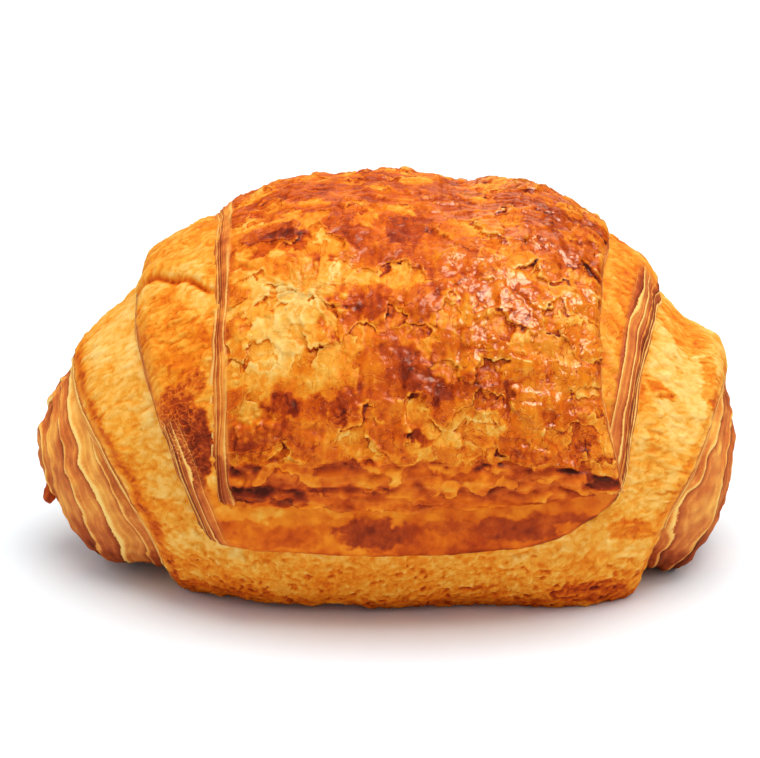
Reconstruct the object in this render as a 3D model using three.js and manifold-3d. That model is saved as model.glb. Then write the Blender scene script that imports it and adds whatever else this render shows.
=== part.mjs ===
// A pain au chocolat rolled like a croissant: a laminated dough sheet wound round a
// core, each turn narrower than the one inside it, so that both ends step down.
// Lengths are in millimetres. +X runs along the roll, -Y is the front, +Z is up, and
// the origin is at the centre of the base. An angle is measured in degrees round the
// roll from the front: 90 is the top, 180 the back and -90 the base.
import * as THREE from "three";
import { mergeVertices } from "three/addons/utils/BufferGeometryUtils.js";
import Module from "manifold-3d";

const wasm = await Module();
wasm.setup();

// The roll's axis: highest in the middle, lower and set back at the slimmer ends.
const HALF_LENGTH = 67.5;
const AXIS_HEIGHT = 34.9;
const AXIS_DROP = 12.4;
const AXIS_SETBACK = 5.5;
const AXIS_REACH = 57;
const AXIS_POWER = 2.7;

// The cross-section: nearly round above, squarer where the dough sagged below.
const DEPTH_SCALE = 0.96;
const ROUND_POWER = 2.1;
const SAG_POWER = 3;

// Each turn of dough, and how much its top sinks towards its two sides.
const TURN_RADIUS = 35.3;
const TURN_SWELL = 1.6; // the base is the outermost turn, so it is this much fuller
const SECOND_RISE = 3.4;
const FLAP_RISE = 7.5;
const MERGE_FROM = 205; // behind this angle the outer turns sink into the base
const MERGE_TO = 270;
const SUNK = 1.5; // how far below the base's surface they end
const CORE_DEPTH = 3.2;
const FOOT_DEPTH = 0.8; // how far the foot of an edge lies inside the turn below

const THIRD = { middle: 2.5, reach: 54, fall: 9.3, power: 2.86 };
const SECOND = { middle: 2.5, reach: 40, fall: 2.8, power: 4 };
const FLAP = { middle: 5, reach: 37, fall: 4.5, power: 3.5 };

// The core's two ends: where each starts to round off, how blunt it is, and how far
// its underside lifts off between two distances from the middle.
const LEFT_END = { start: 48, bluntness: 1.56, lift: 0.9, liftFrom: 45, liftTo: 62 };
const RIGHT_END = { start: 50, bluntness: 2.2, lift: 2, liftFrom: 43, liftTo: 66 };

// Soft humps and hollows: [x, angle, half width, half angle, height].
const FLAP_HUMPS = [
  [1, 100, 7, 30, 0.9],
  [15, 100, 4.5, 26, -1.6],
  [28, 92, 8, 34, 0.5],
  [-26, 102, 7, 30, -0.7],
  [37, 102, 5, 30, -0.6],
  [-25, 40, 9, 22, 0.7],
  [-8, 22, 10, 14, 0.6],
  [22, 34, 12, 20, 0.7],
  [4, 55, 8, 9, -0.5],
  [-20, 130, 12, 26, 0.8],
  [24, 150, 11, 22, 0.9],
  [2, 178, 12, 20, 0.7],
];
const SECOND_HUMPS = [
  [-41, 88, 4, 13, 0.5],
  [-41, 60, 6, 8, -0.8],
  [-41, 30, 6, 18, 0.6],
  [2, -26, 11, 7, 0.7],
  [48, 75, 4, 20, 0.5],
];
const THIRD_HUMPS = [
  [-50, 95, 6, 30, -1.2],
  [-54, 55, 5, 24, 0.6],
  [-52, 8, 6, 16, 0.5],
  [59, 60, 5, 20, 0.6],
  [56, 15, 5, 20, 0.5],
  [38, -56, 11, 20, 2],
  [-18, -50, 16, 10, 0.5],
  [15, -60, 34, 14, 1],
  [-56, 150, 6, 24, 0.7],
  [58, 140, 6, 26, 0.7],
];

// The base turn's side edges: x, and how far it draws in around one angle below.
const THIRD_LEFT_EDGE = { x: -60.5, tuck: 19.5, angle: -65, halfAngle: 78 };
const THIRD_RIGHT_EDGE = { x: 66.2, tuck: -18, angle: -60, halfAngle: 80 };

// The second turn's side edges: they sweep in between two angles on the front and
// draw in once more behind.
const SECOND_LEFT_EDGE = { x: -46.5, sweep: 13.5, from: 68, to: -23, power: 1.7, back: 4 };
const SECOND_RIGHT_EDGE = { x: 52.2, sweep: -8.6, from: 85, to: -7, power: 0.9, back: -4 };
const BACK_FROM = 120;
const BACK_TO = 240;

// The flap's side edges: each widens towards the top, and the right one at its corner.
const FLAP_LEFT_EDGE = { x: -31.3, widening: -1, from: 50, to: 110 };
const FLAP_RIGHT_EDGE = { x: 38.7, widening: 3.2, from: 40, to: 90 };
const FLAP_CORNER = { widening: 4.7, from: 26, to: -4 };

// The loose ends on the front: an angle, and how it climbs towards each side.
const TONGUE_TIP = {
  angle: -28.3,
  left: { climb: 5.3, reach: 33, power: 4 },
  right: { climb: 20.3, reach: 43, power: 4 },
};
const FLAP_TIP = {
  angle: -13.4,
  left: { climb: 3.2, reach: 32, power: 2 },
  right: { climb: 9.4, reach: 43, power: 2.6 },
};
const TONGUE_EDGE = 5.5; // degrees over which the tongue's end rises to its full height
const FLAP_CREST = 2; // the angle at which the flap's end is at its full height
const EDGE_POWER = 0.6; // how square the rounded edges are

// A small browned tail of dough that hangs from the left end.
const TAIL = { x: -64.2, y: 7, z: 17, length: 8, neck: 1, bulb: 1.3, tilt: 12 };
const TAIL_NARROWS = { from: 0.1, to: 0.6 }; // shares of its length above the foot
const TAIL_POWER = 6; // how square its two ends are
const TAIL_STEPS = 10;
const TAIL_SIDES = 12;

// How finely the surfaces are divided.
const ROWS_ROUND = 64;
const ROWS_STRIP = 42;
const MIDDLE_COLUMNS = 15;
const WALL_STEPS = [0, 0.12, 0.4, 1];
const CORE_STATIONS = 22;
const WELD_DISTANCE = 1e-4;

// Sizes inside the solid, where nothing shows.
const BURIED_TIP = 30;
const SLAB_DEPTH = 9;
const CUT_SIZE = 400;

const CRUST_COLOUR = "#d98a35";
const CRUST_ROUGHNESS = 0.45;

const radians = (angle) => (angle * Math.PI) / 180;
const clamp = (value, low, high) => Math.min(high, Math.max(low, value));
const mix = (a, b, share) => a + (b - a) * share;
const bell = (value, middle, width) =>
  Math.exp(-(((value - middle) / width) ** 2));

function smoothStep(from, to, value) {
  const share = clamp((value - from) / (to - from), 0, 1);
  return share * share * (3 - 2 * share);
}

// The angle's nearest equal to a middle angle, so that bells work all the way round.
function unwrap(angle, middle) {
  return angle - 360 * Math.round((angle - middle) / 360);
}

function humps(list, x, angle) {
  let height = 0;
  for (const [atX, atAngle, halfX, halfAngle, rise] of list) {
    const turned = unwrap(angle, atAngle);
    height += rise * bell(x, atX, halfX) * bell(turned, atAngle, halfAngle);
  }
  return height;
}

const axisShare = (x) => Math.min(1, Math.abs(x) / AXIS_REACH);
const axisHeight = (x) => AXIS_HEIGHT - AXIS_DROP * axisShare(x) ** AXIS_POWER;
const axisSetback = (x) => AXIS_SETBACK * (Math.abs(x) / AXIS_REACH) ** 2;

// How far the section reaches at an angle, beside a plain circle.
function sectionShape(x, angle) {
  const across = Math.abs(Math.cos(radians(angle)));
  const upright = Math.abs(Math.sin(radians(angle)));
  const below = Math.sin(radians(angle)) < 0;
  const sag = mix(SAG_POWER, ROUND_POWER, axisShare(x) ** 2);
  const power = below ? sag : ROUND_POWER;
  return (across ** power + upright ** power) ** (-1 / power);
}

function pointAt(x, angle, radius) {
  const reach = radius * sectionShape(x, angle);
  const y = axisSetback(x) - DEPTH_SCALE * reach * Math.cos(radians(angle));
  const z = axisHeight(x) + reach * Math.sin(radians(angle));
  return new THREE.Vector3(x, y, z);
}

const turnRadius = (angle) =>
  TURN_RADIUS + TURN_SWELL * Math.cos(radians(angle + 80));
const rise = (angle) => 1 - smoothStep(MERGE_FROM, MERGE_TO, angle);
const fall = (turn, x) =>
  turn.fall * (Math.abs(x - turn.middle) / turn.reach) ** turn.power;

// The edges of each turn, as x at an angle.
function tuckedEdge(edge, angle) {
  return edge.x + edge.tuck * bell(unwrap(angle, edge.angle), edge.angle, edge.halfAngle);
}

function sweptEdge(edge, angle) {
  const swept = clamp((edge.from - angle) / (edge.from - edge.to), 0, 1) ** edge.power;
  return edge.x + edge.sweep * swept + edge.back * smoothStep(BACK_FROM, BACK_TO, angle);
}

const widening = (edge, angle) => edge.widening * smoothStep(edge.from, edge.to, angle);

const thirdLeft = (angle) => tuckedEdge(THIRD_LEFT_EDGE, angle);
const thirdRight = (angle) => tuckedEdge(THIRD_RIGHT_EDGE, angle);
const secondLeft = (angle) => sweptEdge(SECOND_LEFT_EDGE, angle);
const secondRight = (angle) => sweptEdge(SECOND_RIGHT_EDGE, angle);
const flapLeft = (angle) => FLAP_LEFT_EDGE.x + widening(FLAP_LEFT_EDGE, angle);
const flapRight = (angle) =>
  FLAP_RIGHT_EDGE.x + widening(FLAP_RIGHT_EDGE, angle) + widening(FLAP_CORNER, angle);

// The angle at which a loose end stops on the front.
function tipAngle(tip, x) {
  const side = x < 0 ? tip.left : tip.right;
  return tip.angle + side.climb * (Math.abs(x) / side.reach) ** side.power;
}

const tongueTip = (x) => tipAngle(TONGUE_TIP, x);
const tongueCrest = (x) => tongueTip(x) + TONGUE_EDGE;
const flapTip = (x) => tipAngle(FLAP_TIP, x);
const flapCrest = () => FLAP_CREST;

function thirdRadius(x, angle) {
  return turnRadius(angle) - fall(THIRD, x) + humps(THIRD_HUMPS, x, angle);
}

function coreRadius(x, angle) {
  const end = x < 0 ? LEFT_END : RIGHT_END;
  const shoulder = Math.sign(x) * Math.min(Math.abs(x), end.start);
  const full = turnRadius(angle) - fall(THIRD, shoulder) - CORE_DEPTH;
  const share = clamp((Math.abs(x) - end.start) / (HALF_LENGTH - end.start), 0, 1);
  const below = Math.max(0, -Math.sin(radians(angle)));
  const lifted = end.lift * below * smoothStep(end.liftFrom, end.liftTo, Math.abs(x));
  return Math.max(0, full * (1 - share ** end.bluntness) ** (1 / end.bluntness) - lifted);
}

function secondRadius(x, angle) {
  const top = turnRadius(angle) + SECOND_RISE - fall(SECOND, x);
  const shaped = top + humps(SECOND_HUMPS, x, angle);
  return mix(thirdRadius(x, angle) - SUNK, shaped, rise(angle));
}

function flapRadius(x, angle) {
  const top = turnRadius(angle) + FLAP_RISE - fall(FLAP, x);
  const shaped = top + humps(FLAP_HUMPS, x, angle);
  return mix(thirdRadius(x, angle) - SUNK, shaped, rise(angle));
}

// How far up its rounded edge a point lies, from 0 at the foot to 1 on top.
function edgeShare(distance, width) {
  const short = clamp(1 - distance / width, 0, 1);
  return (1 - short * short) ** EDGE_POWER;
}

// x at each column of a turn: close together in the two edges, even between them.
function columnsAt(turn, angle) {
  const left = turn.left(angle);
  const right = turn.right(angle);
  const from = left + turn.leftWall;
  const to = right - turn.rightWall;
  const columns = WALL_STEPS.map((step) => left + step * turn.leftWall);
  for (let i = 1; i < MIDDLE_COLUMNS; i++) {
    columns.push(mix(from, to, i / MIDDLE_COLUMNS));
  }
  for (const step of WALL_STEPS.toReversed()) {
    columns.push(right - step * turn.rightWall);
  }
  return columns;
}

// The radius of a turn with its edges rounded down to the turn below it.
function edgedRadius(turn, x, angle) {
  const foot = turn.below(x, angle) - FOOT_DEPTH;
  let share = edgeShare(x - turn.left(angle), turn.leftWall);
  share *= edgeShare(turn.right(angle) - x, turn.rightWall);
  if (turn.tip) {
    share *= edgeShare(angle - turn.tip(x), turn.crest(x) - turn.tip(x));
  }
  return foot + (turn.radius(x, angle) - foot) * share;
}

const turns = {
  third: {
    left: thirdLeft,
    right: thirdRight,
    radius: thirdRadius,
    below: coreRadius,
    leftWall: 3.6,
    rightWall: 2.4,
  },
  second: {
    left: secondLeft,
    right: secondRight,
    radius: secondRadius,
    below: thirdRadius,
    tip: tongueTip,
    crest: tongueCrest,
    leftWall: 2.6,
    rightWall: 3.4,
  },
  flap: {
    left: flapLeft,
    right: flapRight,
    radius: flapRadius,
    below: secondRadius,
    tip: flapTip,
    crest: flapCrest,
    leftWall: 4.8,
    rightWall: 1.6,
  },
};

function solidOf(points, triangles) {
  const geometry = new THREE.BufferGeometry().setFromPoints(points);
  geometry.setIndex(triangles);
  return manifoldOf(geometry);
}

function manifoldOf(geometry) {
  const bare = geometry.clone();
  bare.deleteAttribute("normal");
  bare.deleteAttribute("uv");
  const merged = mergeVertices(bare, WELD_DISTANCE);
  const mesh = new wasm.Mesh({
    numProp: 3,
    vertProperties: merged.attributes.position.array,
    triVerts: new Uint32Array(merged.index.array),
  });
  return new wasm.Manifold(mesh);
}

// Two triangles for the square whose corners are given in turn, seen from outside.
function addSquare(triangles, a, b, c, d) {
  triangles.push(a, b, c, a, c, d);
}

// A closed barrel: rings of points from left to right, with a point at each end.
function barrel(rings, leftPoint, rightPoint) {
  const around = rings[0].length;
  const points = [...rings.flat(), leftPoint, rightPoint];
  const [leftIndex, rightIndex] = [points.length - 2, points.length - 1];
  const last = (rings.length - 1) * around;
  const triangles = [];
  for (let j = 0; j < around; j++) {
    const next = (j + 1) % around;
    triangles.push(leftIndex, j, next);
    triangles.push(rightIndex, last + next, last + j);
    for (let i = 0; i + 1 < rings.length; i++) {
      const [near, far] = [i * around, (i + 1) * around];
      addSquare(triangles, near + j, far + j, far + next, near + next);
    }
  }
  return solidOf(points, triangles);
}

function coreSolid() {
  const rings = [];
  for (let i = 1; i < CORE_STATIONS; i++) {
    const x = -HALF_LENGTH * Math.cos((Math.PI * i) / CORE_STATIONS);
    const ring = [];
    for (let j = 0; j < ROWS_ROUND; j++) {
      const angle = (360 * j) / ROWS_ROUND - 90;
      ring.push(pointAt(x, angle, coreRadius(x, angle)));
    }
    rings.push(ring);
  }
  const end = (x) => pointAt(x, 0, 0);
  return barrel(rings, end(-HALF_LENGTH), end(HALF_LENGTH));
}

function thirdSolid() {
  const turn = turns.third;
  const columns = [];
  for (let j = 0; j < ROWS_ROUND; j++) {
    const angle = (360 * j) / ROWS_ROUND - 90;
    const xs = columnsAt(turn, angle);
    columns.push(xs.map((x) => pointAt(x, angle, edgedRadius(turn, x, angle))));
  }
  const rings = columns[0].map((_, i) => columns.map((column) => column[i]));
  return barrel(rings, pointAt(-BURIED_TIP, 0, 0), pointAt(BURIED_TIP, 0, 0));
}

// The angle of a row: close together in the loose end's edge, even beyond it.
function rowAngle(turn, x, row) {
  const [tip, crest] = [turn.tip(x), turn.crest(x)];
  const inWall = WALL_STEPS.length - 1;
  if (row < inWall) return mix(tip, crest, WALL_STEPS[row]);
  return mix(crest, MERGE_TO, (row - inWall) / (ROWS_STRIP - inWall));
}

// A turn with a loose end, as a slab: its outer face, an inner face and four sides.
function stripSolid(turn) {
  const outer = [];
  const inner = [];
  const nominal = columnsAt(turn, 0);
  for (let i = 0; i <= ROWS_STRIP; i++) {
    const across = [];
    const under = [];
    nominal.forEach((x0, j) => {
      const angle = rowAngle(turn, x0, i);
      const x = columnsAt(turn, angle)[j];
      const radius = edgedRadius(turn, x, angle);
      across.push(pointAt(x, angle, radius));
      const inside = Math.min(radius, turn.below(x, angle)) - SLAB_DEPTH;
      under.push(pointAt(x, angle, inside));
    });
    outer.push(across);
    inner.push(under);
  }
  return slab(outer, inner);
}

function slab(outer, inner) {
  const rows = outer.length;
  const columns = outer[0].length;
  const points = [...outer.flat(), ...inner.flat()];
  const top = (i, j) => i * columns + j;
  const base = (i, j) => rows * columns + i * columns + j;
  const triangles = [];
  for (let i = 0; i + 1 < rows; i++) {
    for (let j = 0; j + 1 < columns; j++) {
      addSquare(triangles, top(i, j), top(i, j + 1), top(i + 1, j + 1), top(i + 1, j));
      addSquare(triangles, base(i, j), base(i + 1, j), base(i + 1, j + 1), base(i, j + 1));
    }
    const [first, last] = [0, columns - 1];
    addSquare(triangles, top(i, first), top(i + 1, first), base(i + 1, first), base(i, first));
    addSquare(triangles, top(i + 1, last), top(i, last), base(i, last), base(i + 1, last));
  }
  for (let j = 0; j + 1 < columns; j++) {
    const end = rows - 1;
    addSquare(triangles, top(0, j + 1), top(0, j), base(0, j), base(0, j + 1));
    addSquare(triangles, top(end, j), top(end, j + 1), base(end, j + 1), base(end, j));
  }
  return solidOf(points, triangles);
}

// The tail: a drop turned on a lathe, thin at its neck and round at its foot.
function tailSolid() {
  const { from, to } = TAIL_NARROWS;
  const profile = [];
  for (let i = 0; i <= TAIL_STEPS; i++) {
    const share = i / TAIL_STEPS;
    const rounding = Math.sqrt(Math.max(0, 1 - (2 * share - 1) ** TAIL_POWER));
    const radius = mix(TAIL.bulb, TAIL.neck, smoothStep(from, to, share)) * rounding;
    profile.push(new THREE.Vector2(radius, -TAIL.length * (1 - share)));
  }
  const drop = new THREE.LatheGeometry(profile, TAIL_SIDES);
  const place = new THREE.Matrix4()
    .makeTranslation(TAIL.x, TAIL.y, TAIL.z)
    .multiply(new THREE.Matrix4().makeRotationY(radians(TAIL.tilt)))
    .multiply(new THREE.Matrix4().makeRotationX(radians(90)));
  return manifoldOf(drop.applyMatrix4(place));
}

// Everything above the surface that the pastry rests on.
function aboveFloor() {
  const box = new THREE.BoxGeometry(CUT_SIZE, CUT_SIZE, CUT_SIZE);
  box.translate(0, 0, CUT_SIZE / 2);
  return manifoldOf(box);
}

function pastryGeometry() {
  const whole = coreSolid()
    .add(thirdSolid())
    .add(stripSolid(turns.second))
    .add(stripSolid(turns.flap))
    .add(tailSolid())
    .intersect(aboveFloor());
  const mesh = whole.getMesh();
  const geometry = new THREE.BufferGeometry();
  geometry.setAttribute("position", new THREE.BufferAttribute(mesh.vertProperties, 3));
  geometry.setIndex(new THREE.BufferAttribute(mesh.triVerts, 1));
  geometry.computeVertexNormals();
  geometry.computeBoundingBox();
  const centre = geometry.boundingBox.getCenter(new THREE.Vector3());
  geometry.translate(-centre.x, -centre.y, -geometry.boundingBox.min.z);
  return geometry;
}

const crust = new THREE.MeshStandardMaterial({
  color: new THREE.Color(CRUST_COLOUR),
  roughness: CRUST_ROUGHNESS,
  metalness: 0,
});

const pastry = new THREE.Mesh(pastryGeometry(), crust);
pastry.name = "pastry";

const painAuChocolat = new THREE.Group();
painAuChocolat.add(pastry);

export default painAuChocolat;
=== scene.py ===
"""The looks of a pain au chocolat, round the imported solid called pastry.

The solid's rolled form is built again as seven fine pieces: the outer flap in two halves,
the second turn, the third turn, the core's two ends and a small tail. Each is a grid with
real relief, such as layers, blisters and peeled skin. It carries numbers, called marks,
that the one crust material turns into colour and gloss.

Lengths are in millimetres until a mesh is made. An angle is in degrees round the roll
from the front: 90 is the top, 180 the back and -90 the base.
"""
import math
from itertools import product

import bpy
import numpy as np
from mathutils import Matrix, Vector


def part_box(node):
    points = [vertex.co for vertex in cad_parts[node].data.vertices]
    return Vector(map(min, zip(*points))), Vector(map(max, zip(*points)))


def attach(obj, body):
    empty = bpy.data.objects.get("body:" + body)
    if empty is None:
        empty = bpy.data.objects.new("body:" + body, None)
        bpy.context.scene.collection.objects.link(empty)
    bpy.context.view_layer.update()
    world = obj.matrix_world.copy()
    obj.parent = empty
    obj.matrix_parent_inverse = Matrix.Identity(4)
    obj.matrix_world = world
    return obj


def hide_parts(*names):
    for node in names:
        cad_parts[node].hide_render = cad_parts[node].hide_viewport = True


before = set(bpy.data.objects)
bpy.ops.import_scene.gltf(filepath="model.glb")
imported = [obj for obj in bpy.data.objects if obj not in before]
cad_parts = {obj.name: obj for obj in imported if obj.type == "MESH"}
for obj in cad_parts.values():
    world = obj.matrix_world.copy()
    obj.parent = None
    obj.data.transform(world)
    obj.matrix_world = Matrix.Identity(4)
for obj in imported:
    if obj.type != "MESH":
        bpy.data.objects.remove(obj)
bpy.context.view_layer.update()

NODE = "pastry"
BODY = "root"
MM = 0.001

# ---- the rolled form

solid_low, solid_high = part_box(NODE)
HALF_LENGTH = (solid_high.x - solid_low.x) / 2 / MM

# The solid's other sizes: its axis, its cross-section and how far its turns stand out.
AXIS_HEIGHT = 34.9
AXIS_DROP = 12.4
AXIS_SETBACK = 5.5
AXIS_REACH = 57.0
AXIS_POWER = 2.7
DEPTH_SCALE = 0.96
ROUND_POWER = 2.1
SAG_POWER = 3.0
TURN_RADIUS = 35.3
TURN_SWELL = 1.6
SECOND_RISE = 3.4
FLAP_RISE = 7.5
MERGE_FROM = 205.0
MERGE_TO = 270.0
SUNK = 1.5
CORE_DEPTH = 3.2
FOOT_DEPTH = 0.8

# How far a turn's surface falls towards its sides: middle, reach, fall, power.
THIRD_FALL = (2.5, 54.0, 9.3, 2.86)
SECOND_FALL = (2.5, 40.0, 2.8, 4.0)
FLAP_FALL = (5.0, 37.0, 4.5, 3.5)

# The core's ends: start, bluntness, lift, and where the lift starts and is full.
LEFT_END = (48.0, 1.56, 0.9, 45.0, 62.0)
RIGHT_END = (50.0, 2.2, 2.0, 43.0, 66.0)

# Soft humps and hollows: x, angle, half width, half angle, height.
FLAP_HUMPS = (
    (1, 100, 7, 30, 0.9), (15, 100, 4.5, 26, -1.6), (28, 92, 8, 34, 0.5),
    (-26, 102, 7, 30, -0.7), (37, 102, 5, 30, -0.6), (-25, 40, 9, 22, 0.7),
    (-8, 22, 10, 14, 0.6), (22, 34, 12, 20, 0.7), (4, 55, 8, 9, -0.5),
    (-20, 130, 12, 26, 0.8), (24, 150, 11, 22, 0.9), (2, 178, 12, 20, 0.7),
)
SECOND_HUMPS = (
    (-41, 88, 4, 13, 0.5), (-41, 60, 6, 8, -0.8), (-41, 30, 6, 18, 0.6),
    (2, -26, 11, 7, 0.7), (48, 75, 4, 20, 0.5),
)
THIRD_HUMPS = (
    (-50, 95, 6, 30, -1.2), (-54, 55, 5, 24, 0.6), (-52, 8, 6, 16, 0.5),
    (59, 60, 5, 20, 0.6), (56, 15, 5, 20, 0.5), (38, -56, 11, 20, 2),
    (-18, -50, 16, 10, 0.5), (15, -60, 34, 14, 1), (-56, 150, 6, 24, 0.7),
    (58, 140, 6, 26, 0.7),
)


def mix(a, b, share):
    return a + (b - a) * share


def bell(value, middle, width):
    return np.exp(-(((value - middle) / width) ** 2))


def step(start, end, value):
    """0 before start, 1 after end and smooth between them; start may be above end."""
    share = np.clip((value - start) / (end - start), 0, 1)
    return share * share * (3 - 2 * share)


def near(angle, middle):
    """The angle's equal that is nearest to a middle angle."""
    return angle - 360 * np.round((angle - middle) / 360)


def spots(places, x, angle):
    """The sum of soft round spots: x, angle, half width, half angle, height."""
    total = np.zeros(np.shape(x))
    for at_x, at_angle, half_x, half_angle, height in places:
        turned = near(angle, at_angle)
        total = total + height * bell(x, at_x, half_x) * bell(turned, at_angle, half_angle)
    return total


def point_at(x, angle, radius):
    """Points on the roll as an array whose last axis is x, y and z."""
    turn = np.radians(angle)
    across, upright = np.abs(np.cos(turn)), np.abs(np.sin(turn))
    share = np.minimum(1, np.abs(x) / AXIS_REACH)
    sag = mix(SAG_POWER, ROUND_POWER, share**2)
    power = np.where(np.sin(turn) < 0, sag, ROUND_POWER)
    reach = radius * (across**power + upright**power) ** (-1 / power)
    y = AXIS_SETBACK * (np.abs(x) / AXIS_REACH) ** 2 - DEPTH_SCALE * reach * np.cos(turn)
    z = AXIS_HEIGHT - AXIS_DROP * share**AXIS_POWER + reach * np.sin(turn)
    return np.stack([x + 0 * y, y, z], axis=-1)


def turn_radius(angle):
    return TURN_RADIUS + TURN_SWELL * np.cos(np.radians(angle + 80))


def fall(turn, x):
    middle, reach, drop, power = turn
    return drop * (np.abs(x - middle) / reach) ** power


def third_left(angle):
    return -60.5 + 19.5 * bell(near(angle, -65), -65, 78)


def third_right(angle):
    return 66.2 - 18 * bell(near(angle, -60), -60, 80)


def second_left(angle):
    return -46.5 + 13.5 * np.clip((68 - angle) / 91, 0, 1) ** 1.7 + 4 * step(120, 240, angle)


def second_right(angle):
    return 52.2 - 8.6 * np.clip((85 - angle) / 92, 0, 1) ** 0.9 - 4 * step(120, 240, angle)


def flap_left(angle):
    return -31.3 - step(50, 110, angle)


def flap_right(angle):
    return 38.7 + 3.2 * step(40, 90, angle) + 4.7 * (1 - step(-4, 26, angle))


def tongue_tip(x):
    return -28.3 + np.where(x < 0, 5.3 * (x / 33) ** 4, 20.3 * (x / 43) ** 4)


def flap_tip(x):
    return -13.4 + np.where(x < 0, 3.2 * (x / 32) ** 2, 9.4 * (np.abs(x) / 43) ** 2.6)


def tongue_crest(x):
    return tongue_tip(x) + 5.5


def flap_crest(x):
    return 2.0 + 0 * x


def third_radius(x, angle):
    return turn_radius(angle) - fall(THIRD_FALL, x) + spots(THIRD_HUMPS, x, angle)


def core_radius(x, angle):
    left = x < 0
    start, blunt, lift, lift_from, lift_to = [
        np.where(left, a, b) for a, b in zip(LEFT_END, RIGHT_END)
    ]
    shoulder = np.sign(x) * np.minimum(np.abs(x), start)
    full = turn_radius(angle) - fall(THIRD_FALL, shoulder) - CORE_DEPTH
    share = np.clip((np.abs(x) - start) / (HALF_LENGTH - start), 0, 1)
    below = np.maximum(0, -np.sin(np.radians(angle)))
    lifted = lift * below * step(lift_from, lift_to, np.abs(x))
    return np.maximum(0, full * (1 - share**blunt) ** (1 / blunt) - lifted)


def outer_radius(turn_rise, turn_fall, humps, x, angle):
    shaped = turn_radius(angle) + turn_rise - fall(turn_fall, x) + spots(humps, x, angle)
    return mix(shaped, third_radius(x, angle) - SUNK, step(MERGE_FROM, MERGE_TO, angle))


def second_radius(x, angle):
    return outer_radius(SECOND_RISE, SECOND_FALL, SECOND_HUMPS, x, angle)


def flap_radius(x, angle):
    return outer_radius(FLAP_RISE, FLAP_FALL, FLAP_HUMPS, x, angle)


class Turn:
    """One turn of dough: its two side edges, its surface and the one below it."""

    def __init__(self, left, right, radius, below, walls, tip=None, crest=None):
        self.left, self.right = left, right
        self.radius, self.below = radius, below
        self.left_wall, self.right_wall = walls
        self.tip, self.crest = tip, crest


THIRD = Turn(third_left, third_right, third_radius, core_radius, (3.6, 2.4))
SECOND = Turn(second_left, second_right, second_radius, third_radius, (2.6, 3.4), tongue_tip, tongue_crest)
FLAP = Turn(flap_left, flap_right, flap_radius, second_radius, (4.8, 1.6), flap_tip, flap_crest)


def edge_share(distance, width):
    """How far up its rounded edge a point lies, from 0 at the foot to 1 on top."""
    short = np.clip(1 - distance / width, 0, 1)
    return (1 - short * short) ** 0.6


def rise_share(turn, x, angle):
    """The same for all of a turn's edges."""
    share = edge_share(x - turn.left(angle), turn.left_wall)
    share = share * edge_share(turn.right(angle) - x, turn.right_wall)
    if turn.tip:
        share = share * edge_share(angle - turn.tip(x), turn.crest(x) - turn.tip(x))
    return share


def edged_radius(turn, x, angle):
    foot = turn.below(x, angle) - FOOT_DEPTH
    return foot + (turn.radius(x, angle) - foot) * rise_share(turn, x, angle)


# ---- repeatable noise

# Odd factors that scatter a lattice point and its seed over 32 bits.
SCATTER = (374761393, 668265263, 1103515245, 974634777)
STIR = 1274126177
LOW_BITS = 0xFFFFFFFF
TEN_BITS = 0x3FF
# Brings gradient noise to about -1 to 1.
NOISE_SCALE = 1.7
# The number that layers are counted from, which keeps them all above 0.
FIRST_LAYER = 60


def hashed(ix, iy, iz, seed):
    """A whole number from 0 to 2**32 - 1 for each lattice point."""
    whole = [value.astype(np.int64) for value in (ix, iy, iz)] + [seed]
    h = sum(value * factor for value, factor in zip(whole, SCATTER)) & LOW_BITS
    h = ((h ^ (h >> 13)) * STIR) & LOW_BITS
    return h ^ (h >> 16)


def fraction(h, shift=0):
    """A number from 0 to 1 out of ten bits of a hashed one."""
    return ((h >> shift) & TEN_BITS) / TEN_BITS


def noise(x, y, z, seed):
    """Gradient noise, about -1 to 1."""
    cells = [np.floor(value) for value in (x, y, z)]
    parts = [value - cell for value, cell in zip((x, y, z), cells)]
    eased = [f * f * f * (f * (f * 6 - 15) + 10) for f in parts]
    total = 0
    for corner in product((0, 1), (0, 1), (0, 1) if np.any(parts[2]) else (0,)):
        h = hashed(*[cell + far for cell, far in zip(cells, corner)], seed)
        slope, weight = 0, 1
        for axis, far in enumerate(corner):
            slope = slope + (fraction(h, 10 * axis) * 2 - 1) * (parts[axis] - far)
            weight = weight * (eased[axis] if far else 1 - eased[axis])
        total = total + slope * weight
    return total * NOISE_SCALE


def flat_noise(x, y, seed):
    """The same on a plane."""
    return noise(x, y, 0 * x, seed)


def layered(shape, x, y, size, seed, octaves, growth, fading):
    """The sum of shaped noise, each layer of it finer and weaker than the one before."""
    total = 0
    for octave in range(octaves):
        scale = growth**octave / size
        total = total + fading**octave * shape(flat_noise(x * scale, y * scale, seed + octave))
    return total


def clouds(x, y, size, seed, octaves=3):
    """Soft noise in several sizes, about -1 to 1."""
    return layered(lambda value: value, x, y, size, seed, octaves, 2.0, 0.55)


def creases(x, y, size, seed, octaves=2):
    """Round cushions with sharp valleys between them, 0 in a valley."""
    return layered(np.abs, x, y, size, seed, octaves, 2.0, 0.5)


def crinkles(x, y, size, seed, octaves=2):
    """Crumpled skin: thin raised ridges round wide hollows, 1 on a ridge."""

    def ridge(value):
        return np.maximum(0, 1 - 2.2 * np.abs(value)) ** 2

    return layered(ridge, x, y, size, seed, octaves, 1.9, 0.5)


def scattered(x, y, cell, seed, reach=1):
    """One random point in each of the cells about x, y: its hashed number and place."""
    gx, gy = np.floor(x / cell), np.floor(y / cell)
    for dx, dy in product(range(-reach, reach + 1), repeat=2):
        h = hashed(gx + dx, gy + dy, 0 * gx, seed)
        yield h, (gx + dx + fraction(h)) * cell, (gy + dy + fraction(h, 8)) * cell


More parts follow.
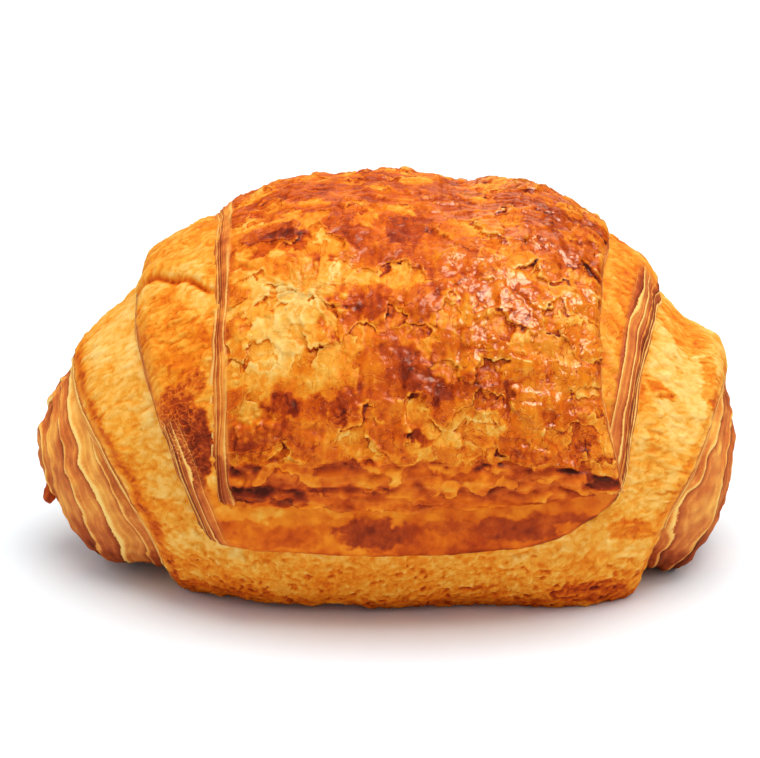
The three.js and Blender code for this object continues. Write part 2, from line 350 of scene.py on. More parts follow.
def blisters(x, y, cell, share, seed):
    """Domes of mixed sizes, one at most in each cell: 1 on top of a dome, 0 off it."""
    best = np.zeros(np.shape(x))
    for h, at_x, at_y in scattered(x, y, cell, seed):
        radius = cell * mix(0.22, 0.62, fraction(h, 16))
        there = fraction(h, 20) < share
        dome = 1 - ((x - at_x) ** 2 + (y - at_y) ** 2) / radius**2
        best = np.where(there, np.maximum(best, dome), best)
    return np.sqrt(best)


def flakes(x, y, cell, cover, seed):
    """Distance inside the torn edge of a layer of skin, below 0 where it has gone.

    Cells of uneven shape stay or go, as often as cover(x, y) says.
    """
    kept = np.full(np.shape(x), 3.0 * cell)
    lost = np.full(np.shape(x), 3.0 * cell)
    for h, at_x, at_y in scattered(x, y, cell, seed, reach=2):
        far = np.hypot(x - at_x, y - at_y)
        stays = fraction(h, 18) < cover(at_x, at_y)
        kept = np.where(stays, np.minimum(kept, far), kept)
        lost = np.where(stays, lost, np.minimum(lost, far))
    return np.clip((lost - kept) / 2, -cell, cell)


def plates(x, y, cell, seed):
    """Sheets in the cells of flakes, each tilted its own way, and 1 on their seams."""
    total = np.zeros(np.shape(x))
    weight, most = total + 0, total + 0
    for h, at_x, at_y in scattered(x, y, cell, seed):
        off_x, off_y = x - at_x, y - at_y
        nearness = np.exp(-(off_x**2 + off_y**2) / (0.07 * cell**2))
        tilted = (fraction(h, 4) - 0.5) * off_x + (fraction(h, 13) - 0.5) * off_y
        total += nearness * (0.42 * tilted + 0.3 * (fraction(h, 20) - 0.5))
        weight += nearness
        most = np.maximum(most, nearness)
    return total / weight, 2 * (1 - most / weight)


def strata(across, along, aside, seed, width):
    """Cut edges of thin uneven layers as a running number, one layer for each whole step."""
    drift = noise(along / 15, aside / 15, across / (4 * width), seed)
    quick = noise(along / 5, aside / 5, across / (2.5 * width), seed + 1)
    uneven = flat_noise(across / (1.9 * width), along / 40, seed + 2)
    return across / width + 0.8 * drift + 0.25 * quick + 0.7 * uneven + FIRST_LAYER


def shingled(place, seed):
    """Relief of such layers, about -0.5 to 0.6: uneven sheets with raised edges."""
    sheet = np.floor(place)
    part = place - sheet
    here, beyond = [fraction(hashed(sheet + k, 0 * place, 0 * place, seed)) for k in (0, 1)]
    level = mix(here, beyond, step(0.7, 1.0, part))
    ridge = bell(part, 0.8, 0.17) + bell(part, -0.2, 0.17)
    return 0.7 * level + 0.4 * ridge - 0.45


def averaged(values, reach):
    """Values smoothed over a square of that many grid steps to each side."""
    for axis in (0, 1):
        count = values.shape[axis]
        total = np.cumsum(np.insert(values, 0, 0, axis=axis), axis=axis)
        high = np.minimum(np.arange(count) + reach + 1, count)
        low = np.maximum(np.arange(count) - reach, 0)
        width = (high - low).reshape((-1, 1) if axis == 0 else (1, -1))
        values = (np.take(total, high, axis=axis) - np.take(total, low, axis=axis)) / width
    return values


# Millimetres round the roll to a radian, for laying relief out evenly.
ROUND_SCALE = 42.0
DEGREES_A_MM = 180 / math.pi / ROUND_SCALE


def ragged(places, x, y, angle, wander, seed):
    """Patches with torn edges: x, angle, half width, half angle, amount."""
    shift_x = wander * clouds(x, y, 3.2, seed)
    shift_angle = wander * clouds(x, y, 3.2, seed + 5) * DEGREES_A_MM
    rough = 0.16 * clouds(x, y, 1.1, seed + 9, 2)
    total = np.zeros(np.shape(x))
    for at_x, at_angle, half_x, half_angle, amount in places:
        off_x = (x + shift_x - at_x) / half_x
        off_angle = (near(angle, at_angle) + shift_angle - at_angle) / half_angle
        inside = step(1.15, 0.85, np.sqrt(off_x**2 + off_angle**2) + rough)
        total = np.where(inside > 0, mix(total, amount, inside), total)
    return total


# ---- grids

# Columns to a cell in a side edge, and how they crowd at its foot.
EDGE_STEPS = 1.9
EDGE_CROWDING = 1.4
# How much of an edge's rise relief takes to reach its full height.
RELIEF_FROM_FOOT = 0.3
# How far a piece's UV map stays clear of the border.
UV_MARGIN = 0.01


def edge_steps(count):
    return (np.arange(count) / count) ** EDGE_CROWDING


def turn_grid(turn, rows, cell, row_angles=None):
    """x and angle on a grid over a turn, with closer columns in its two side edges.

    Rows are at row_angles, or at shares of the way up the tip and from there to the base.
    """
    walls = turn.left_wall, turn.right_wall
    steps = [edge_steps(max(6, round(EDGE_STEPS * wall / cell))) * wall for wall in walls]
    width = turn.right(0.0) - turn.left(0.0) - sum(walls)
    middle = np.linspace(0, 1, round(width / cell) + 1)
    share = np.concatenate([0 * steps[0], middle, 1 + 0 * steps[1]])
    offset = np.concatenate([steps[0], mix(walls[0], -walls[1], middle), -steps[1][::-1]])
    if row_angles is None:
        nominal = mix(turn.left(0.0), turn.right(0.0), share) + offset
        tip, crest = turn.tip(nominal), turn.crest(nominal)
        angle = mix(tip, crest, rows[0][:, None])
        angle = np.concatenate([angle, mix(crest, MERGE_TO, rows[1][:, None])])
    else:
        angle = np.repeat(row_angles[:, None], len(offset), axis=1)
    return mix(turn.left(angle), turn.right(angle), share) + offset, angle


def surface_normals(points, closed=False):
    """Unit normals of a grid of points, pointing out of the roll."""
    along_x, round_it = np.gradient(points, axis=1), np.gradient(points, axis=0)
    if closed:
        round_it = (np.roll(points, -1, axis=0) - np.roll(points, 1, axis=0)) / 2
    normal = np.cross(along_x, round_it)
    return normal / np.maximum(np.linalg.norm(normal, axis=-1, keepdims=True), 1e-9)


def run_length(points, axis):
    """Distance over the surface from the first row or column."""
    legs = np.linalg.norm(np.diff(points, axis=axis), axis=-1)
    return np.insert(np.cumsum(legs, axis=axis), 0, 0, axis=axis)


class Patch:
    """A grid over one turn, with the distances that its relief is laid out by.

    Its lift, the height of the relief, and its marks are added later.
    """

    def __init__(self, x, angle, points, closed=False):
        self.x, self.angle = x, angle
        self.smooth = points
        self.normal = surface_normals(self.smooth, closed)
        self.from_left = run_length(self.smooth, 1)
        self.from_right = self.from_left[:, -1:] - self.from_left
        self.round = np.radians(angle) * ROUND_SCALE
        self.closed = closed
        self.keep = np.ones(x.shape, bool)

    def noise(self, size, seed):
        """Noise in space, so that it doesn't depend on the grid."""
        return noise(*[self.smooth[..., k] / size for k in range(3)], seed)


def turn_patch(turn, x, angle, closed=False):
    patch = Patch(x, angle, point_at(x, angle, edged_radius(turn, x, angle)), closed)
    patch.rise = step(0, RELIEF_FROM_FOOT, rise_share(turn, x, angle))
    return patch


def quads(index):
    """The four corners of every face of a grid of point numbers."""
    corners = [index[:-1, :-1], index[:-1, 1:], index[1:, 1:], index[1:, :-1]]
    return np.stack(corners, axis=-1).reshape(-1, 4)


def add_object(name, data):
    item = bpy.data.objects.new(name, data)
    bpy.context.scene.collection.objects.link(item)
    return item


def make_piece(name, patch, floor=0.0):
    """A mesh object of the patch's kept faces, with its marks as point attributes."""
    points = patch.smooth + patch.normal * patch.lift[..., None]
    points[..., 2] = np.maximum(points[..., 2], floor)
    index = np.arange(patch.x.size).reshape(patch.x.shape)
    if patch.closed:
        index = np.concatenate([index, index[:1]])
    faces = quads(index)
    shown = patch.keep.reshape(-1)[faces].any(axis=1)
    used, faces = np.unique(faces[shown], return_inverse=True)
    faces = faces.reshape(-1, 4)
    mesh = bpy.data.meshes.new(name)
    mesh.from_pydata(points.reshape(-1, 3)[used] * MM, [], faces, shade_flat=False)
    for mark, values in patch.marks.items():
        layer = mesh.attributes.new(mark, "FLOAT", "POINT")
        flat = np.broadcast_to(values, patch.x.shape).reshape(-1)[used]
        layer.data.foreach_set("value", flat.astype(np.float32))

    corners = quads(np.arange(index.size).reshape(index.shape))[shown].ravel()
    row, column = np.unravel_index(corners, index.shape)
    down, over = [np.linspace(UV_MARGIN, 1 - UV_MARGIN, count) for count in index.shape]
    uv = np.stack([over[column], down[row]], axis=-1)
    layer = mesh.uv_layers.new(name="OFBake")
    layer.data.foreach_set("uv", uv.astype(np.float32).ravel())
    return add_object(name, mesh)


# ---- relief and marks

# Below, a number before a named form is its height in millimetres, and one before a
# patch of colour is how much browner it makes the dough. A mask is 1 inside its region.

# Every piece has a tone, how browned it is from 0 to 1, with painted shade in its hollows, folds and
# under ledges and painted light on its ridges mixed in. These are its other marks, and their values
# where it doesn't give them. skin, under and low are distances in millimetres inside the torn
# edges of three layers of skin, and crisp is how sharp those are and how strong their pale rims and
# painted gap shade are. lined is the share of cut layers, and place counts them. folded is the share
# of fine fold lines, netted that of pale ones on browned dough, and crackled that of both in the skin.
NO_SKIN = -2.0
PLAIN_MARKS = {
    "gloss": 0.3,
    "lined": 0.0,
    "place": 0.0,
    "netted": 0.0,
    "crackled": 0.0,
    "skin": NO_SKIN,
    "under": NO_SKIN,
    "low": NO_SKIN,
    "crisp": 1.0,
    "folded": 0.0,
}


def set_marks(patch, tone, **given):
    patch.marks = {**PLAIN_MARKS, "tone": tone, **given}


def lumps(patch, seed):
    """Slow unevenness of the whole roll, much the same on every turn at one place."""
    return 0.6 * patch.noise(17, 11) + 0.3 * patch.noise(6.5, 12 + seed)


def painted_relief_shade(lift, reach, strength):
    """Painted shade and light from the relief: how much browner the hollows and paler the ridges are
    painted.
    """
    return np.clip((averaged(lift, reach) - lift) * strength, -0.22, 0.22)


def lower_edges(distance, s):
    """1 where a flake's edge faces down the roll, 0 where it faces up."""
    upward = np.gradient(distance, axis=0) / np.gradient(s, axis=0)
    return step(-0.35, 0.35, averaged(upward, 2))


def raised(distance, crisp):
    """0 off a flake and 1 on it: a sharp step at its lower edges, a slope above."""
    return step(-mix(1.2, 0.08, crisp), mix(0.6, 0.13, crisp), distance)


def warped(x, s, wide, fine, seed):
    """x and s pushed about by wide and fine noise, each given as an amount and a size."""
    return [
        value
        + wide[0] * clouds(x, s, wide[1], seed + shift)
        + fine[0] * clouds(x, s, fine[1], seed + shift + 10, 2)
        for value, shift in ((x, 0), (s, 4))
    ]


def side_layers(patch, left_width, right_width, seed):
    """The count of the cut layers in the side edge that is nearer."""
    y, z = patch.smooth[..., 1], patch.smooth[..., 2]
    left = strata(patch.from_left, y, z, seed, left_width)
    right = strata(patch.from_right, y, z, seed + 1, right_width)
    return np.where(patch.x < 0, left, right)


# ---- the flap's marks

# Where the flap's skin has peeled (below 0) or is whole (above 0).
BALD = (
    (-19, 42, 9, 18, -0.7), (-21, 26, 6, 8, -0.3), (-3, 74, 5, 7, -0.4),
    (-5, 5, 12, 5, -0.4), (18, 14, 4, 4, -0.5), (25, 45, 13, 30, 0.34),
    (-6, 17, 7, 4, 0.5), (-6, 62, 5, 8, 0.4), (-5, 41, 5, 5, 0.4),
    (12, 46, 5, 7, 0.3), (-13, 48, 4, 6, 0.9),
)
# The flap's three layers of skin from the top down: size of the flakes, share left, how
# far BALD counts, height, shift along and round the roll, seeds of share and flakes.
SKIN_SHEETS = (
    (4.2, 0.56, 1.0, 0.26, (0, 0), (51, 61)),
    (2.6, 0.6, 0.3, 0.2, (40, 0), (55, 62)),
    (1.7, 0.55, 0.1, 0.14, (0, 40), (58, 60)),
)
# Browned and pale patches of the flap: x, angle, half width, half angle, amount.
FLAP_TONES = (
    (-20, 40, 9, 17, -0.14), (-20, 62, 6.5, 4, 0.22), (-6, 66, 5, 7, 0.1),
    (-12, 52, 4, 4, 0.1), (4, 65, 4, 7, 0.16), (-3, 41, 4, 5, 0.16),
    (4, 30, 6, 8, 0.1), (12, 46, 6, 8, 0.06), (24, 43, 4, 5, 0.12),
    (18, 20, 5, 6, 0.16), (8, 22, 5, 5, 0.14), (-6, 17, 7, 4.5, 0.12),
    (-5, 6, 11, 4, -0.05), (18, 12, 3.5, 3, -0.14), (-19, 16, 4, 3, 0.26),
    (5.5, 8.5, 2, 2.2, 0.3), (34, 64, 6, 8, 0.18), (33, 12, 5, 8, 0.12),
    (-22, 8, 6, 6, 0.12), (24, 4, 12, 2.5, 0.12), (-4, 82, 32, 9, 0.04),
    (30, 80, 12, 14, 0.12), (-13, 48, 5, 7, -0.24),
)
LIP_TONES = (
    (-27, -6.5, 6.5, 3.2, 0.28), (-28, 0.8, 6, 1.5, 0.22), (-17, -8.5, 3.4, 3, 0.24),
    (-8, -5.5, 7, 1.4, 0.14), (40, -0.5, 4.5, 2.2, 0.36), (36.5, 2, 5, 1.2, 0.28),
    (18.5, 1.6, 3, 0.7, 0.25), (8, 1.5, 3, 0.6, 0.16), (4, -2, 12, 2.2, -0.06),
)
WALL_TONES = (
    (-30.5, 60, 3, 14, 0.12), (-30.5, 36, 2, 6, 0.14), (-30, -3, 4, 8, 0.26),
    (41, 45, 3, 45, 0.12), (41, 6, 3, 5, 0.2),
)
# Where fine bubbles stand close together.
BUBBLY = ((-23, 8, 6.5, 8, 1.0),)
# Where folds run together: x and angle.
STAR_PLACE = (-14.0, 46.0)


def skin_cover(share, bald_weight, seed):
    """How often a cell of skin is left, as a function of where it lies."""

    def chance(at_x, at_s):
        bald = bald_weight * spots(BALD, at_x, at_s * DEGREES_A_MM)
        return share + 0.45 * clouds(at_x, at_s, 11, seed, 2) + bald

    return chance


def torn_skins(warp_x, warp_s):
    """Distances inside the torn edges of the layers of skin, each under the one before."""
    skins = []
    for cell, share, bald_weight, _, (shift_x, shift_s), (share_seed, seed) in SKIN_SHEETS:
        cover = skin_cover(share, bald_weight, share_seed)
        torn = flakes(warp_x + shift_x, warp_s + shift_s, cell, cover, seed)
        skins.append(np.maximum(torn, skins[-1]) if skins else torn)
    return skins


def star_folds(x, s):
    """Folds that run out from one place, where drying skin pulled together."""
    at_x, at_s = STAR_PLACE[0], STAR_PLACE[1] / DEGREES_A_MM
    far = np.hypot(x - at_x, s - at_s)
    turn = np.arctan2(s - at_s, x - at_x)
    wander = turn + 0.3 * flat_noise(far / 4, turn * 2, 91)
    ridge = bell(flat_noise(wander * 3.2, far / 12, 92), 0, 0.13)
    fine = bell(flat_noise(wander * 6, far / 8, 93), 0, 0.13)
    return (0.4 * ridge + 0.2 * fine) * step(13, 4, far) * step(0, 1.2, far)


def flap_face(patch, warp_x, warp_s):
    """Relief, tone and marks of the face: torn skin over blistered and folded dough."""
    x, angle, s = patch.x, patch.angle, patch.round
    behind = step(100, 135, angle)
    on_front = step(80, 56, angle)
    shiny = step(3, 18, x + 6 * clouds(x, s, 12, 66, 1)) * (1 - 0.5 * behind)

    skins = torn_skins(warp_x, warp_s)
    downward = lower_edges(skins[0], s)
    crisp = downward * mix(0.3, 1, on_front)
    steps = [raised(skin, crisp) for skin in skins]
    on_top = steps[0]
    heights = [sheet[3] for sheet in SKIN_SHEETS]
    curl = crisp * bell(skins[0], 0.3, 0.3) + 0.6 * crisp * bell(skins[1], 0.25, 0.25)
    relief = sum(height * up for height, up in zip(heights, steps)) + 0.06 * curl
    top_cell, top_seed = SKIN_SHEETS[0][0], SKIN_SHEETS[0][5][1]
    sheets, seams = plates(warp_x, warp_s, top_cell, top_seed)
    crumple = crinkles(warp_x / 0.85, warp_s / 1.5, 4.2, 64, 2)
    domes = blisters(warp_x, warp_s, 5.5, 0.6, 63)
    beads = blisters(x, s, 1.4, 0.12, 65)
    fibres = crinkles(x, s / 3.5, 1.2, 67, 1) * (1 - on_top)
    relief += mix(0.15, 0.12, shiny) * crumple + 0.45 * domes * on_top
    relief += mix(0.5, 1.0, shiny) * sheets * (1 - 0.5 * behind)
    relief += 0.18 * beads + 0.22 * fibres - 0.65
    star = star_folds(x, s)
    bubbly = ragged(BUBBLY, x, s, angle, 1.0, 68)
    relief += star - 0.15 + bubbly * (0.45 * blisters(x, s, 1.2, 0.8, 69) - 0.2)
    ribbed = step(62, 80, angle)
    ribs = crinkles(x / 2.6 + 0.4 * clouds(x, s, 6, 77, 1), s, 2.6, 78, 1)
    relief += 0.35 * ribs * ribbed * (1 - behind)

    tone = 0.52 + 0.12 * clouds(x, s, 9, 81) + 0.05 * clouds(x, s, 2.0, 84) - 0.07 * shiny
    streaks = flat_noise(x / 1.1, s / 7 + 0.3 * clouds(x, s, 5, 90, 1), 90)
    tone += 0.1 * streaks * on_top * step(80, 50, angle)
    tone += ragged(FLAP_TONES, x, s, angle, 1.6, 82) + 0.07 * step(60, 84, angle)
    tone += 0.1 * behind * clouds(x, s, 16, 83, 2) - 0.1 * ribs * ribbed - 0.34 * star
    tone += (0.13 * step(0.5, 1, seams) + 0.1 * (1 - on_top)) * shiny
    marks = dict(zip(("skin", "under", "low"), skins))
    marks["crisp"] = downward * mix(0.7, 1, on_front)
    marks["gloss"] = mix(0.4, 1.0, shiny)
    marks["crackled"] = mix(1, 1.5, shiny)
    return relief, tone, marks


def flap_lip(patch, warp_x, warp_s, ledge, place):
    """Relief, tone, flakes and their crispness on the flap's thick baked end; the tone has painted shade
    under the ledge and in the fold.
    """
    x, angle, s = patch.x, patch.angle, patch.round
    torn = flakes(warp_x / 2.4, warp_s, 1.6, lambda at_x, at_s: 0.3 + 0 * at_x, 79)
    crisp = lower_edges(torn, s)
    cushions = creases(warp_x / 1.8, warp_s, 3.6, 74) - 0.35
    fold_at = -5.2 + 2.6 * flat_noise(x / 9, 0 * x, 76) + 0.8 * flat_noise(x / 2.4, 0 * x, 85)
    shaded_fold = bell(angle, fold_at, 0.7)
    hollow = 0.45 + 0.7 * flat_noise(x / 5, 0 * x, 23)
    shaded_ledge_groove = bell(angle, ledge - 0.9, 0.7) * np.clip(hollow, 0, 1)
    relief = 0.4 * shingled(place, 94) + 1.1 * cushions - 0.25 * shaded_fold - 0.4 * shaded_ledge_groove
    relief += 0.2 * raised(torn, crisp) - 0.35
    tone = 0.63 + 0.14 * clouds(x, s, 5, 86) + ragged(LIP_TONES, x, s, angle, 0.9, 87)
    # The tone's last two terms are painted shade under the ledge and in the fold.
    return relief, tone + 0.15 * shaded_ledge_groove + 0.05 * shaded_fold, torn, crisp


def flap_marks(patch):
    x, angle, s = patch.x, patch.angle, patch.round
    wall = np.maximum(step(5.4, 4.4, patch.from_left), step(2.6, 1.8, patch.from_right))
    ledge = 2.4 + 2.0 * flat_noise(x / 9, 0 * x, 21) + 1.0 * flat_noise(x / 2.6, 0 * x, 22)
    lip = step(0.3, -0.3, angle - ledge)
    face = (1 - wall) * (1 - lip)
    lipped = (1 - wall) * lip
    warp_x, warp_s = warped(x, s, (1.2, 4.5), (0.5, 1.3), 31)

    bent_tip = run_length(patch.smooth, 0) + 0.9 * clouds(x, s, 6, 75) + 0.05 * x
    lip_layers = strata(bent_tip, x, 0 * x, 73, 1.9)
    place = np.where(wall > 0, side_layers(patch, 1.15, 1.0, 71), lip_layers)
    on_face, face_tone, marks = flap_face(patch, warp_x, warp_s)
    on_lip, lip_tone, lip_skin, lip_crisp = flap_lip(patch, warp_x, warp_s, ledge, place)
    detail = face * on_face + wall * 0.6 * shingled(place, 94) + lipped * on_lip
    patch.lift = lumps(patch, 0) + detail * patch.rise

    wall_tone = 0.54 + 0.12 * clouds(x, s, 4, 88) + ragged(WALL_TONES, x, s, angle, 0.8, 89)
    # The last term is painted shade in the relief's hollows and painted light on its ridges.
    tone = mix(mix(face_tone, lip_tone, lip), wall_tone, wall) + painted_relief_shade(detail, 4, 0.25)
    below_face = np.where(wall > 0.5, NO_SKIN, lip_skin)
    set_marks(
        patch,
        tone,
        gloss=face * marks["gloss"] + 0.15 * lipped,
        lined=np.maximum(0.66 * wall, 0.05 * lipped),
        place=place,
        skin=np.where(face > 0.3, marks["skin"], NO_SKIN),
        under=np.where(face > 0.3, marks["under"], below_face),
        low=np.where(face > 0.3, marks["low"], NO_SKIN),
        crisp=np.where(lip > 0.5, lip_crisp, marks["crisp"]),
        folded=0.3 * face,
        crackled=face * marks["crackled"],
    )


# ---- the second turn's marks

# Where the second turn is browned darkest, and its lesser browned and pale patches.
SECOND_DARK = (
    (-38, 19, 3.6, 7, 0.75), (-36, 11, 4.5, 8, 1), (-33.2, 6, 2.2, 12, 1),
    (-34, 26, 2, 4, 0.6), (-2.5, -18.8, 7, 4, 1), (23, -17, 8.5, 2.7, 0.8),
    (33, -13.4, 7, 2, 0.6), (12, -17, 5, 2.2, 0.4),
)
SECOND_TONES = (
    (-39, 66, 7, 13, -0.13), (-40, 46, 5, 15, 0.02), (-36, 36, 5, 8, 0.09),
    (-34, 52, 3, 5, -0.1), (-25, -13, 7, 2.6, -0.16), (-20, -20, 9, 3, 0.1),
    (-9, -13, 3, 1.6, -0.12), (14, -21, 20, 4, 0.1), (47, 45, 5, 34, 0.08),
    (46, 40, 3, 9, 0.16),
)


def second_walls(patch):
    """Masks of the second turn's cut edges: its left foot, and all of them."""
    x, angle = patch.x, patch.angle
    foot = step(22, 8, angle) * step(11.5, 8.0, patch.from_left) * (x < 0)
    wall = np.maximum(step(3.8, 2.9, patch.from_left), foot)
    broad = step(12.5, 10.5, patch.from_right) * step(-10, 8, angle) * step(95, 70, angle)
    return foot, np.maximum(wall, np.maximum(broad, step(5.5, 4.0, patch.from_right)))


def second_marks(patch):
    x, angle, s = patch.x, patch.angle, patch.round
    foot, wall = second_walls(patch)
    tongue = step(-2, -8, angle)
    dark = np.clip(ragged(SECOND_DARK, x, s, angle, 1.1, 167), 0, 1)
    place = side_layers(patch, 1.2, 2.1, 171)

    warp_x, warp_s = warped(x, s, (0.8, 4.0), (0.3, 1.2), 131)
    big = creases(warp_x, warp_s, 3.6, 164) - 0.3
    wrinkle = creases(warp_x * 0.5 + warp_s * 0.3, warp_s * 0.9 - warp_x * 0.5, 1.6, 165) - 0.3
    net = crinkles(warp_x, warp_s, 1.5, 166)
    plain = (0.65 * big + 0.3 * wrinkle) * mix(1, 0.35, np.maximum(tongue, 0.5 * dark))
    plain += 0.2 * dark * net - 0.12
    fold_at = 62 + 2.5 * flat_noise(x / 5, 0 * x, 168) - 1.3 * (x + 37.5)
    shaded_fold = bell(angle, fold_at, 1.5) * step(-30, -33, x) * (1 - wall)
    plain = plain - 0.9 * shaded_fold + 0.6 * bell(angle, fold_at + 5, 4) * step(-30, -34, x)
    detail = mix(plain, 0.65 * shingled(place, 194), wall)
    patch.lift = lumps(patch, 1) + detail * patch.rise

    # The fold term is painted shadow under the fold's ledge.
    tone = 0.37 + 0.13 * clouds(x, s, 7, 181) + 0.06 * clouds(x, s, 2.0, 184) + 0.22 * shaded_fold
    tone += 0.17 * tongue + ragged(SECOND_TONES, x, s, angle, 1.2, 185)
    dark_tone = 0.8 + 0.12 * clouds(x, s, 3, 187) + 0.1 * tongue * step(-21, -24, angle)
    tone = mix(tone, np.maximum(tone, dark_tone), dark)
    tone += 0.14 * bell(angle, tongue_tip(x) + 2.2, 1.6) * step(-26, -16, x)
    wall_tone = mix(0.6 + 0.14 * foot, 0.72, x > 0) + 0.12 * clouds(x, s, 5, 188)
    tone = mix(tone, wall_tone, wall * (1 - 0.8 * dark))
    # Painted shade in the hollows and painted light on the ridges, weaker on the tongue.
    tone += painted_relief_shade(detail, 2, 0.6) * (1 - 0.6 * tongue)
    set_marks(
        patch,
        tone,
        gloss=0.35 - 0.1 * dark,
        lined=np.maximum(0.9 * wall, 0.25 * dark),
        place=np.where(wall > 0.3, place, 0.5),
        folded=1.0 - tongue,
        netted=dark * (1 - tongue) * step(-31, -35, x),
    )


# ---- the third turn's marks

THIRD_TONES = (
    (57, 46, 8, 30, -0.14), (-50, 62, 6, 24, -0.06), (50.5, 34.5, 3, 2.6, 0.22),
    (46, 28, 1.6, 6, 0.18), (45, -20, 5, 4, 0.2), (61, 50, 2, 16, 0.16),
    (-42, -18, 5, 7, 0.12), (38, -44, 7, 5, 0.24), (17, -43, 4, 1, 0.25),
    (-30, -46, 10, 4, 0.08), (56, 80, 6, 20, 0.1),
)


def third_marks(patch):
    x, s = patch.x, patch.round
    angle = near(patch.angle, 90)
    wall = np.maximum(step(4.4, 3.4, patch.from_left), step(3.2, 2.3, patch.from_right))
    below = near(patch.angle, -50)
    crust_below = step(-26, -38, below) * step(-160, -140, below)
    place = side_layers(patch, 1.5, 1.2, 271)

    warp_x, warp_s = warped(x, s, (0.7, 4.0), (0.3, 1.2), 231)
    side = np.sign(x)
    slant_x, slant_s = 0.22 * (warp_x + side * warp_s), 0.75 * (warp_s - side * warp_x)
    big = creases(warp_x, warp_s, 4.2, 264) - 0.3
    wrinkle = creases(slant_x, slant_s, 1.9, 265, 2) - 0.3
    fine = creases(warp_x, warp_s, 0.8, 266, 1) - 0.2
    pores = blisters(warp_x + 3, warp_s, 1.5, 0.2, 267) * crust_below
    plain = 0.6 * big + 0.42 * wrinkle + 0.36 * fine * crust_below - 0.32 * pores - 0.05
    detail = mix(plain, 0.65 * shingled(place, 294), wall)
    patch.lift = lumps(patch, 2) + detail * patch.rise

    tone = 0.26 + 0.1 * clouds(x, s, 8, 281) + 0.07 * clouds(x, s, 2.0, 284)
    tone += ragged(THIRD_TONES, x, s, patch.angle, 1.2, 285) + 0.13 * pores
    tone += 0.14 * crust_below + 0.18 * step(-44.5, -50, angle)
    left_band = bell(patch.from_left, 6.4 + 0.8 * flat_noise(s / 6, 0 * s, 289), 1.7)
    right_band = bell(patch.from_right, 4.4, 1.2)
    on_front = step(110, 70, angle)
    tone += 0.3 * left_band * on_front * step(-60, -20, angle)
    tone += 0.2 * right_band * on_front * step(-60, -10, angle)
    tone = mix(tone, 0.48 + 0.1 * clouds(x, s, 5, 288), wall)
    # Painted shade in the hollows and painted light on the ridges.
    tone += painted_relief_shade(detail, 2, 0.6)
    gloss = 0.3 - 0.2 * crust_below
    set_marks(patch, tone, gloss=gloss, lined=0.85 * wall, place=place, folded=1.0)


# ---- the ends' marks

# The ends' layers lie aslant, by so many degrees, and are so many millimetres wide.
END_TILT = 22
END_LAYER = 3.6


def core_marks(patch, side, seed):
    x, y, z = [patch.smooth[..., k] for k in range(3)]
    tilt = math.radians(END_TILT)
    outward = side * x * math.cos(tilt) - z * math.sin(tilt)
    place = strata(outward, y, z, seed, END_LAYER)
    detail = shingled(place, seed + 4) + 0.3 * patch.noise(2.2, seed + 6)
    patch.lift = lumps(patch, 3) * 0.8 + detail - 0.15
    tone = 0.47 + 0.16 * patch.noise(7, seed + 10) + 0.1 * patch.noise(2.5, seed + 11)
    # The second term is painted shade in the hollows and painted light on the ridges.
    tone += 0.26 * step(16, 3, z) + painted_relief_shade(detail, 3, 0.3)
    set_marks(patch, tone, lined=0.95, place=place, gloss=0.4)


# ---- the pieces

# Millimetres between the grid points of each turn.
FLAP_CELL = 0.3
SECOND_CELL = 0.33
THIRD_CELL = 0.4
# How high each piece's lowest points are held, so that no two lie in one plane.
FLAP_FLOOR = 0.2
SECOND_FLOOR = 0.1
END_FLOOR = 0.05
# The angle where the flap is cut in two, and how many rows later its back starts.
FLAP_CUT = 100.0
CUT_ROWS = 2
# A strip's rows at a cell of 1 mm, up its tip, in front and behind; the front's share.
TIP_ROWS = 5.88
FRONT_ROWS = 85
BACK_ROWS = 50.9
FRONT_SHARE = 0.37
# Rows right round the roll: start, end and gap in degrees.
RING_SPANS = ((-90, -62, 1.6), (-62, 100, 0.56), (100, 235, 1.0), (235, 270, 1.6))
# How far a turn goes on below the next one, and past the start of the merge.
MARGIN = 5.0
MERGE_MARGIN = 20.0
# The ends: name, side and seed; where they start below the third turn; their columns.
ENDS = (("left_end", -1, 371), ("right_end", 1, 391))
END_START = 36.0
END_COLUMNS = 130


def ring_angles():
    spans = [np.linspace(a, b, round((b - a) / gap), endpoint=False) for a, b, gap in RING_SPANS]
    return np.concatenate(spans)


def strip_patch(turn, cell):
    """A turn from its front tip over the top and the back to the base."""
    tip = edge_steps(round(TIP_ROWS / cell))
    front = np.linspace(0, FRONT_SHARE, round(FRONT_ROWS / cell), endpoint=False)
    back = np.linspace(FRONT_SHARE, 1, round(BACK_ROWS / cell))
    return turn_patch(turn, *turn_grid(turn, (tip, np.concatenate([front, back])), cell))


def covered(patch, upper):
    """True where the turn above hides a point, with a margin to spare."""
    x, angle = patch.x, patch.angle
    beside = (x <= upper.left(angle) + MARGIN) | (x >= upper.right(angle) - MARGIN)
    return ~beside & (angle > upper.tip(x) + MARGIN)


def flap_pieces():
    """The flap in two pieces that meet behind the top, which keeps each one light."""
    patch = strip_patch(FLAP, FLAP_CELL)
    flap_marks(patch)
    row = np.indices(patch.x.shape)[0]
    last = np.searchsorted(patch.angle[:, 0], FLAP_CUT)
    patch.keep = row <= last
    front = make_piece("flap_front", patch, FLAP_FLOOR)
    patch.keep = row >= last + CUT_ROWS
    return [front, make_piece("flap_back", patch, FLAP_FLOOR)]


def second_piece():
    patch = strip_patch(SECOND, SECOND_CELL)
    second_marks(patch)
    patch.keep = ~covered(patch, FLAP)
    return make_piece("second_turn", patch, SECOND_FLOOR)


